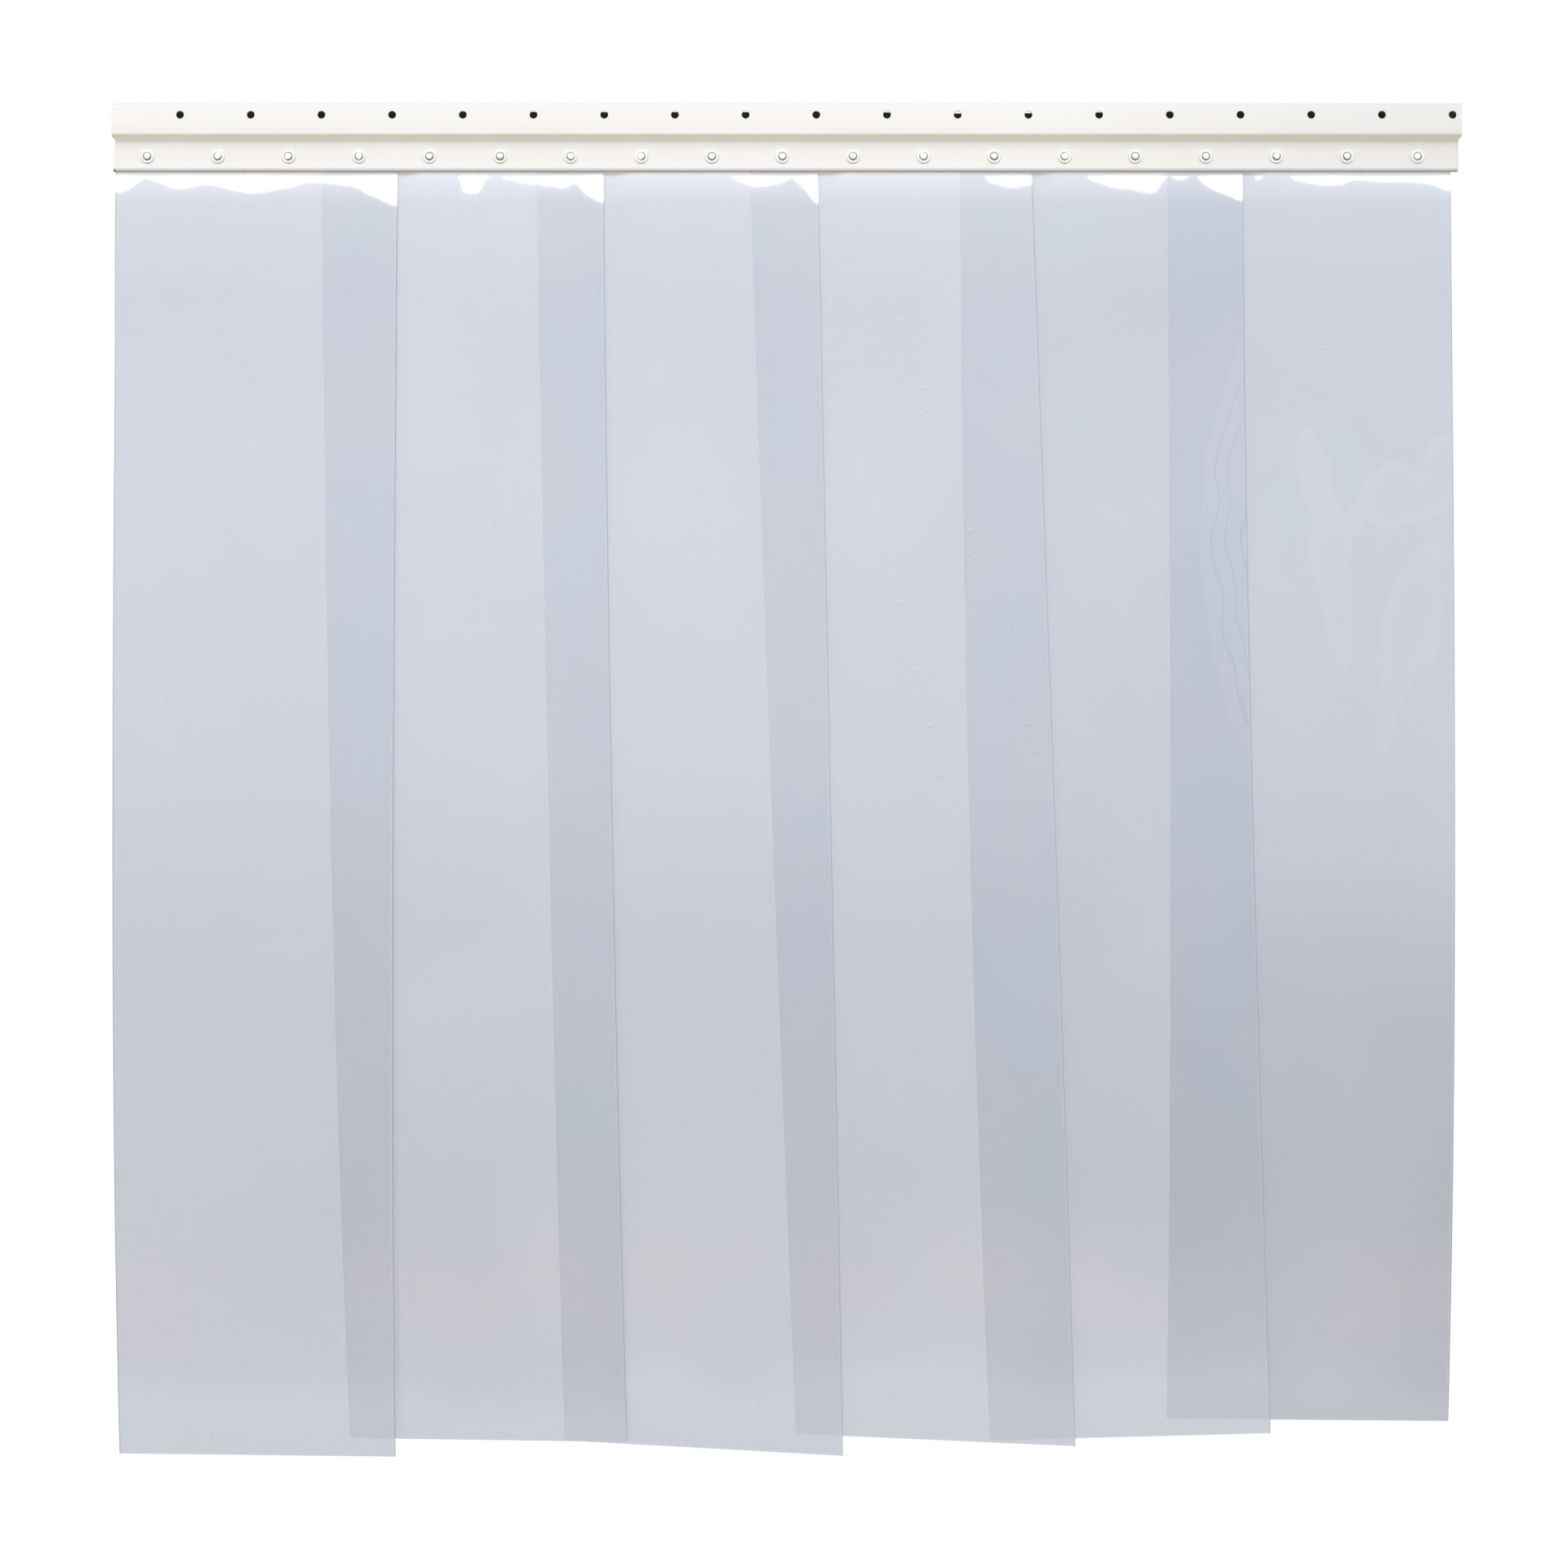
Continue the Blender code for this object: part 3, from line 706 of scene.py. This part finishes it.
def strip_shape(index):
    """The middle surface of a strip, clamped at the top and hanging below, with a map of where on the sheet
    each point lies: across, plus a whole number for the strip, and down, in metres."""
    length = STRIP_LENGTH * LENGTH_SHARES[index] - (STRIP_TOP_Z - HINGE_Z)
    rows = strip_rows(length)
    shape = bmesh.new()
    place_on_sheet = shape.loops.layers.uv.new("sheet")
    lean = LEAN_SHARES[index] * STRIP_WIDTH
    bend = LEAN_BEND_SHARES[index]
    slope = BOTTOM_SLOPE_SHARES[index] * STRIP_WIDTH
    grid = []
    places = {}
    for share, y, z, down in rows:
        line = []
        for column in range(COLUMNS + 1):
            across_share = column / COLUMNS
            across = across_share * STRIP_WIDTH
            settled = smooth_step(share * STRIP_LENGTH / SETTLE_LENGTH)
            loose = FREE_LAYER_SHARE * (1 - 2 * across_share)
            layer = (1 - settled) * clamped_layer(index, across) + settled * loose
            spread = LAYER_PITCH / 2 * (1 + SPREAD_GROWTH * share)
            forward = flare(index, across_share, LIP_Z - z)
            x = strip_left(index) + across + lean * share * (1 - bend + bend * share)
            vert = shape.verts.new(
                (x, HINGE_Y + y + spread * layer - forward, z - slope * share * (across_share - 0.5))
            )
            places[vert] = (index + across, down)
            line.append(vert)
        grid.append(line)
    for high, low in zip(grid, grid[1:]):
        for column in range(COLUMNS):
            face = shape.faces.new((high[column], low[column], low[column + 1], high[column + 1]))
            for loop in face.loops:
                loop[place_on_sheet].uv = places[loop.vert]
    return shape


def background_rays(start):
    """1 for a ray that shows something, straight, mirrored or through plastic. 0 for one that only lights."""
    rays = start.node("LightPath", None, None, "Is Camera Ray")
    shown = start.math("MAXIMUM", rays, rays.output("Is Glossy Ray"))
    return start.math("MAXIMUM", shown, rays.output("Is Transmission Ray"))


pvc, start = new_material("clear_blue_pvc")
place = start.node("UVMap", {"uv_map": "sheet"}, None)
across = start.node("SeparateXYZ", None, {0: place}, "X")
down = across.output("Y")
strip_number = start.math("FLOOR", across)
across = across - strip_number
from_fifth = strip_number.step(3.4, 3.6)
on_sixth = strip_number.step(4.4, 4.6)
on_fourth = strip_number.step(2.4, 2.6) * (1 - from_fifth)
on_fifth = from_fifth * (1 - on_sixth)

haze = start.noise(place.scaled(1.0, 0.8, 1.0), 5.0, 2.0, 0.45, 0.4)
patches = start.noise(place.scaled(1.0, 0.7, 1.0), 13.0, 1.0)
waves = start.noise(place.scaled(1.0, 0.55, 1.0), 30.0, 1.0) - 0.5
# The faint blue tint with painted light and shade down each strip: painted light just under the rail, darker
# down the middle and lighter again near the bottom.
tint_and_painted_light = (down + (haze - 0.5) * 0.09 * down.step(0.05, 0.30)).ramp(
    0.0,
    0.95,
    (
        (0.0215, (0.95, 0.98, 1.0)),
        (0.0238, (0.90, 0.94, 1.0)),
        (0.0270, (0.78, 0.82, 0.92)),
        (0.045, (0.62, 0.66, 0.745)),
        (0.110, (0.57, 0.612, 0.712)),
        (0.270, (0.583, 0.625, 0.725)),
        (0.450, (0.568, 0.608, 0.71)),
        (0.550, (0.522, 0.565, 0.665)),
        (0.700, (0.525, 0.567, 0.657)),
        (0.755, (0.525, 0.565, 0.65)),
        (0.810, (0.562, 0.575, 0.66)),
        (0.870, (0.57, 0.60, 0.695)),
        (0.900, (0.625, 0.67, 0.78)),
    ),
)
# Painted shade: the fifth and sixth strips darker above their bottoms, and the sixth darker still lower down.
tint_and_painted_light = tint_and_painted_light.multiplied_where(from_fifth * (1 - down.step(0.72, 0.86)), (0.91, 0.925, 0.94))
tint_and_painted_light = tint_and_painted_light.multiplied_where(on_sixth * down.step(0.50, 0.68), (0.78, 0.78, 0.79))
tint_and_painted_light = (haze.step(0.35, 0.68) * 0.16).mixed(tint_and_painted_light, (0.72, 0.74, 0.82))
cloudy = patches.step(0.3, 0.7).mixed((0.98, 1.004, 1.008), (1.012, 0.994, 1.0))
tint_and_painted_light = start.vectors("MULTIPLY", tint_and_painted_light, cloudy)

# Painted reflections of the room on the two strips on the right: a tall bow with nested dark lines on the
# fifth, and the lobes on the sixth.
bow_depth = (down - 0.290) * (1 / 0.155)
bow = (across - 0.166 + 0.010 * waves) * (1 / 0.034) - bow_depth * bow_depth
painted_reflection = on_fifth * bow.step(0.0, 0.03)
from_line = start.math("ABSOLUTE", start.math("PINGPONG", bow + 0.6 * waves, 0.16))
line = on_fifth * (1 - from_line.step(0.010, 0.025)) * bow.step(0.15, 0.2)
for centre, depth, half_width, half_height, lean in LOBES:
    below = down - depth
    beside = (across - centre - below * lean) * (1 / half_width)
    below = below * (1 / half_height)
    inside = 1 - beside * beside - below * below + waves * 3.5
    lobe = on_sixth * inside.step(0.0, 0.08) * (1 - 0.6 * inside.step(0.3, 1.2))
    painted_reflection = start.math("MAXIMUM", painted_reflection, lobe)
tint_and_painted_light = tint_and_painted_light.multiplied_where(painted_reflection, (1.055, 1.035, 1.03))
tint_and_painted_light = tint_and_painted_light.multiplied_where(line, (0.90, 0.92, 0.94))

# Two slanted columns of small dents on the fourth strip, each painted with a highlight above and shade below,
# as if lit from above.
column = across - 0.26 * down
flat_place = start.node("CombineXYZ", None, {0: column, 1: down})
dents = start.node(
    "TexVoronoi",
    {"voronoi_dimensions": "2D"},
    {"Vector": flat_place, "Scale": 59.0, "Randomness": 0.6},
    "Distance",
)
dent_row = start.node("SeparateXYZ", None, {0: dents.output("Position")}, "Y")
from_column = start.math("ABSOLUTE", start.math("ABSOLUTE", column - 0.0425) - 0.034)
dented = (1 - from_column.step(0.0075, 0.0085)) * on_fourth * (1 - down.step(0.5, 0.7))
dent_shading = dented * (1 - dents.step(0.08, 0.17)) * dents.output("Color").step(0.0, 0.6)
shaded_lower_half = (down - dent_row).step(-0.0012, 0.0012)
tint_and_painted_light = tint_and_painted_light.multiplied_where(dent_shading, shaded_lower_half.mixed((1.08, 1.07, 1.05), (0.91, 0.925, 0.94)))

# Specks of dust, and painted light at the cut edges: a dark line of painted shade, with a painted pale glow
# beside it.
dots = start.node("TexVoronoi", {"voronoi_dimensions": "2D"}, {"Vector": place, "Scale": 40.0}, "Distance")
dust = (1 - dots.step(0.012, 0.03)) * dots.output("Color").step(0.74, 0.80)
tint_and_painted_light = (dust * 0.5).mixed(tint_and_painted_light, (0.30, 0.33, 0.38))
from_edge = start.math("MINIMUM", across, STRIP_WIDTH - across)
edge_shade_line = 1 - from_edge.step(0.0001, 0.0006)
painted_edge_glow = from_edge.step(0.0005, 0.0009) * (1 - from_edge.step(0.0012, 0.0022))
tint_and_painted_light = (painted_edge_glow * 0.15).mixed(tint_and_painted_light, (0.86, 0.90, 0.97))
tint_and_painted_light = (edge_shade_line * 0.8).mixed(tint_and_painted_light, (0.27, 0.33, 0.47))
finish_material(
    start,
    Base_Color=tint_and_painted_light,
    Roughness=0.045 + 0.02 * haze,
    Alpha=LIGHT_ALPHA + (SEEN_ALPHA - LIGHT_ALPHA) * background_rays(start) + 0.2 * edge_shade_line,
    IOR=1.8,
)

for index in range(STRIPS):
    strip = mesh_object(f"pvc_strip_{index + 1}", strip_shape(index), pvc)
    thick = strip.modifiers.new("thickness", "SOLIDIFY")
    thick.thickness = STRIP_THICKNESS
    thick.offset = 0
    keep_result(strip)
    shape = bmesh.new()
    studs = range(PITCHES_PER_STRIP * index, PITCHES_PER_STRIP * (index + 1) + 1)
    punched = [(stud_x(stud), STUD_Z) for stud in studs]
    add_rods(shape, punched, JOGGLE_STEP, 4 * JOGGLE_STEP, PUNCH, PUNCH_SIDES)
    cut_away(strip, shape)
    for polygon in strip.data.polygons:
        polygon.use_smooth = True
    strip.data.set_sharp_from_angle(angle=math.radians(STRIP_SHARP_ANGLE))
    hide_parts(f"strip_{index + 1}_head", f"strip_{index + 1}")
    x = strip_left(index) + STRIP_WIDTH / 2
    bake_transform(strip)

# The clamp plates: flat bars of black coated steel, end to end behind the strips. Their long upper half also
# backs the screw holes, and its near-black coat is also painted shade for what shows through them.
black, start = new_material("black_coated_steel")
where = start.node("TexCoord", None, None, "Object")
cloud = start.noise(where, 40.0, 3.0)
rubbed = start.noise(where.scaled(0.3, 1.0, 1.6), 300.0, 3.0).step(0.62, 0.74)
black_coat_and_shade = cloud.mixed((0.010, 0.009, 0.010), (0.022, 0.021, 0.022))
finish_material(
    start,
    Base_Color=(rubbed * 0.3).mixed(black_coat_and_shade, (0.10, 0.10, 0.105)),
    Roughness=0.42 + 0.2 * cloud,
    Specular_IOR_Level=0.25,
    Normal=start.bump(start.noise(where, 1200.0, 2.0), 0.00008, 0.3),
)
for index in range(STRIPS):
    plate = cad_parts[f"clamp_plate_{index + 1}"]
    plate.material_slots[0].material = black

# The nuts: zinc plated hexagon nuts with chamfered corners, one on each stud.
NUT_FRONT_Y = 0.0135
NUT_HEIGHT = 0.004
NUT_CORNER_RADIUS = 0.0046
NUT_CHAMFER_RADIUS = 0.0040
NUT_BORE_RADIUS = 0.00245
NUT_BORE_CHAMFER = 0.0003
NUT_SIDES = 48
NUT_TURN = 0.7
NUT_SHARP_ANGLE = 25


def nut_shape():
    """A hexagon nut on Y, from its seat at 0 to its outer face."""
    shape = bmesh.new()
    flat_radius = NUT_CORNER_RADIUS * math.cos(math.pi / 6)
    rings = []
    for side in range(NUT_SIDES):
        angle = 2 * math.pi * side / NUT_SIDES
        folded = (angle % (math.pi / 3)) - math.pi / 6
        outer = flat_radius / math.cos(folded)
        drop = max(0, outer - NUT_CHAMFER_RADIUS) * math.tan(math.radians(30))
        face_radius = min(outer, NUT_CHAMFER_RADIUS)
        ring = [
            (NUT_BORE_RADIUS, NUT_BORE_CHAMFER),
            (NUT_BORE_RADIUS + NUT_BORE_CHAMFER, 0),
            (face_radius, 0),
            (outer, drop),
            (outer, NUT_HEIGHT - drop),
            (face_radius, NUT_HEIGHT),
            (NUT_BORE_RADIUS + NUT_BORE_CHAMFER, NUT_HEIGHT),
            (NUT_BORE_RADIUS, NUT_HEIGHT - NUT_BORE_CHAMFER),
        ]
        rings.append([shape.verts.new((r * math.cos(angle), y, r * math.sin(angle))) for r, y in ring])
    skin(shape, rings + rings[:1])
    bmesh.ops.remove_doubles(shape, verts=shape.verts, dist=1e-6)
    bmesh.ops.recalc_face_normals(shape, faces=shape.faces)
    return shape


for index, nut in enumerate(repeated("hexagon_nut", nut_shape(), zinc, NUT_SHARP_ANGLE)):
    nut.location = (stud_x(index), NUT_FRONT_Y, STUD_Z)
    nut.rotation_euler = (0, NUT_TURN * index, 0)
    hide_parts(f"nut_{index + 1:02d}")
    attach(nut, "rail")

# The studio: white all round, with a darker, warmer lower half for what faces down, a pale floor well below
# the strips, and one long softbox above and behind the camera that the flared tops of the strips mirror.
FLOOR_PLACE = (0, -0.6, -1.72)
FLOOR_REACH = 3.0
FLOOR_SIDES = 96
STRIP_TOPS = Vector((0, 0.01, -0.05))
SOFTBOX_SIZE = (3.4, 0.46)
SOFTBOX_DISTANCE = 3.0
SOFTBOX_ELEVATION = math.radians(21.8)
SOFTBOX_SHIFT = -0.15
SOFTBOX_POWER = 44

world = bpy.data.worlds.new("studio")
world.use_nodes = True
world.node_tree.nodes.clear()
bpy.context.scene.world = world
start = Shade(world.node_tree)
direction = start.node("TexCoord", None, None, "Generated")
upward = start.node("SeparateXYZ", None, {0: direction}, "Z")
glow = upward.step(-0.5, 0.6).mixed((0.56, 0.54, 0.52), (0.80, 0.80, 0.80))
light = start.node("Background", None, {"Color": background_rays(start).mixed(glow, (1, 1, 1))})
start.node("OutputWorld", None, {"Surface": light})

floor_material, start = new_material("pale_floor")
soft = start.node("BsdfDiffuse", None, {"Color": (0.36, 0.34, 0.31, 1)})
shine = start.node("Emission", None, {"Color": (0.68, 0.68, 0.68, 1), "Strength": background_rays(start)})
both = start.node("AddShader", None, {0: soft, 1: shine})
start.node("OutputMaterial", None, {"Surface": both})
shape = bmesh.new()
bmesh.ops.create_circle(shape, cap_ends=True, segments=FLOOR_SIDES, radius=FLOOR_REACH)
floor = mesh_object("floor", shape, floor_material)
floor.location = FLOOR_PLACE

softbox_data = bpy.data.lights.new("softbox", "AREA")
softbox_data.shape = "RECTANGLE"
softbox_data.size, softbox_data.size_y = SOFTBOX_SIZE
softbox_data.energy = SOFTBOX_POWER
softbox = new_object("softbox", softbox_data)
reach = Vector((0, -math.cos(SOFTBOX_ELEVATION), math.sin(SOFTBOX_ELEVATION))) * SOFTBOX_DISTANCE
softbox.location = STRIP_TOPS + reach + Vector((SOFTBOX_SHIFT, 0, 0))
softbox.rotation_euler = (math.pi / 2 - SOFTBOX_ELEVATION, 0, 0)
softbox.visible_camera = False

bpy.context.scene.view_settings.view_transform = "Standard"
